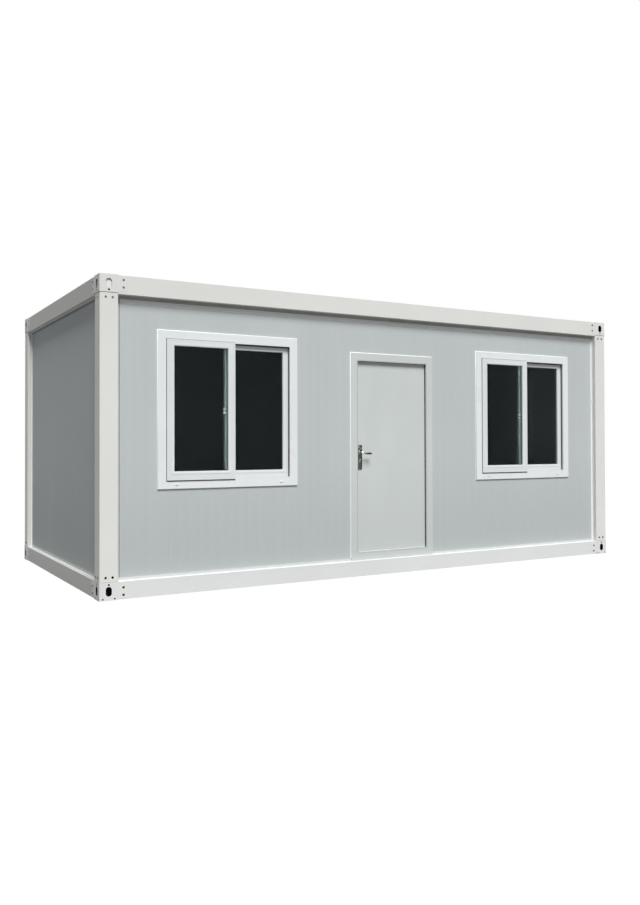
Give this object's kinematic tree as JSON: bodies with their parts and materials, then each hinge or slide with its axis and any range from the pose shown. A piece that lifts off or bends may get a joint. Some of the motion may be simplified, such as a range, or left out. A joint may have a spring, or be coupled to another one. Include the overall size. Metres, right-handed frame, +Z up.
{
  "type": "container house",
  "caption": "Flat-pack steel-frame container house with sandwich-panel walls, sliding windows and an inward-opening door with a lever handle.",
  "frame": {"origin": "on the ground in the middle of the footprint", "axes": "+X along the length, to the right as the door is faced; +Y from the door side to the back; +Z up"},
  "size_m": [6, 3, 2.7],
  "materials": {
    "frame_paint": "glossy white-grey paint on steel",
    "galvanised_steel": "galvanised",
    "floor_board": "plain board",
    "floor_covering": "satin vinyl sheet",
    "roof_steel": "satin coated steel sheet",
    "panel_white": "satin coated steel sheet",
    "panel_grey": "satin grey coated steel sheet",
    "trim_white": "white coated steel angle",
    "window_pvc": "white plastic profile",
    "window_glass": "dark clear glass",
    "latch_plastic": "grey plastic",
    "door_paint": "satin grey coated steel",
    "hinge_steel": "plain steel",
    "handle_metal": "dark satin metal"
  },
  "bodies": {
    "house": {"bottom_corner_blocks": "frame_paint", "top_corner_blocks": "frame_paint", "post_front_left": "frame_paint", "post_front_right": "frame_paint", "post_back_left": "frame_paint", "post_back_right": "frame_paint", "bottom_beam_front": "frame_paint", "bottom_beam_back": "frame_paint", "bottom_beam_left": "frame_paint", "bottom_beam_right": "frame_paint", "top_beam_front": "frame_paint", "top_beam_back": "frame_paint", "top_beam_left": "frame_paint", "top_beam_right": "frame_paint", "floor_joists": "galvanised_steel", "floor_board": "floor_board", "floor_covering": "floor_covering", "roof_purlins": "galvanised_steel", "roof_sheet": "roof_steel", "ceiling_panel": "panel_white", "front_wall_left": "panel_grey", "front_wall_right": "panel_grey", "front_wall_over_door": "panel_grey", "back_wall": "panel_grey", "left_wall": "panel_grey", "right_wall": "panel_grey", "wall_trims": "trim_white", "window_left_frame": "window_pvc", "window_left_outer_sash": "window_pvc", "window_left_inner_sash": "window_pvc", "window_left_glass": "window_glass", "window_right_frame": "window_pvc", "window_right_outer_sash": "window_pvc", "window_right_inner_sash": "window_pvc", "window_right_glass": "window_glass", "window_latches": "latch_plastic", "window_inner_trims": "window_pvc", "door_frame": "door_paint", "door_frame_hinges": "hinge_steel"},
    "door": {"door_leaf": "door_paint", "door_leaf_hinges": "hinge_steel", "door_handle_plates": "handle_metal"},
    "lever": {"door_lever": "handle_metal"}
  },
  "joints": [
    {"name": "door_hinge", "type": "hinge", "parent": "house", "child": "door", "pos_m": [0.4075, -1.361, 1.163], "axis": [0, 0, -1], "range_deg": [0, 95]},
    {"name": "lever_turn", "type": "hinge", "parent": "door", "child": "lever", "pos_m": [-0.407, -1.401, 1.204], "axis": [0, 1, 0], "range_deg": [0, 45], "stiffness_Nm_per_rad": 1.5, "springref_deg": -28.65}
  ]
}
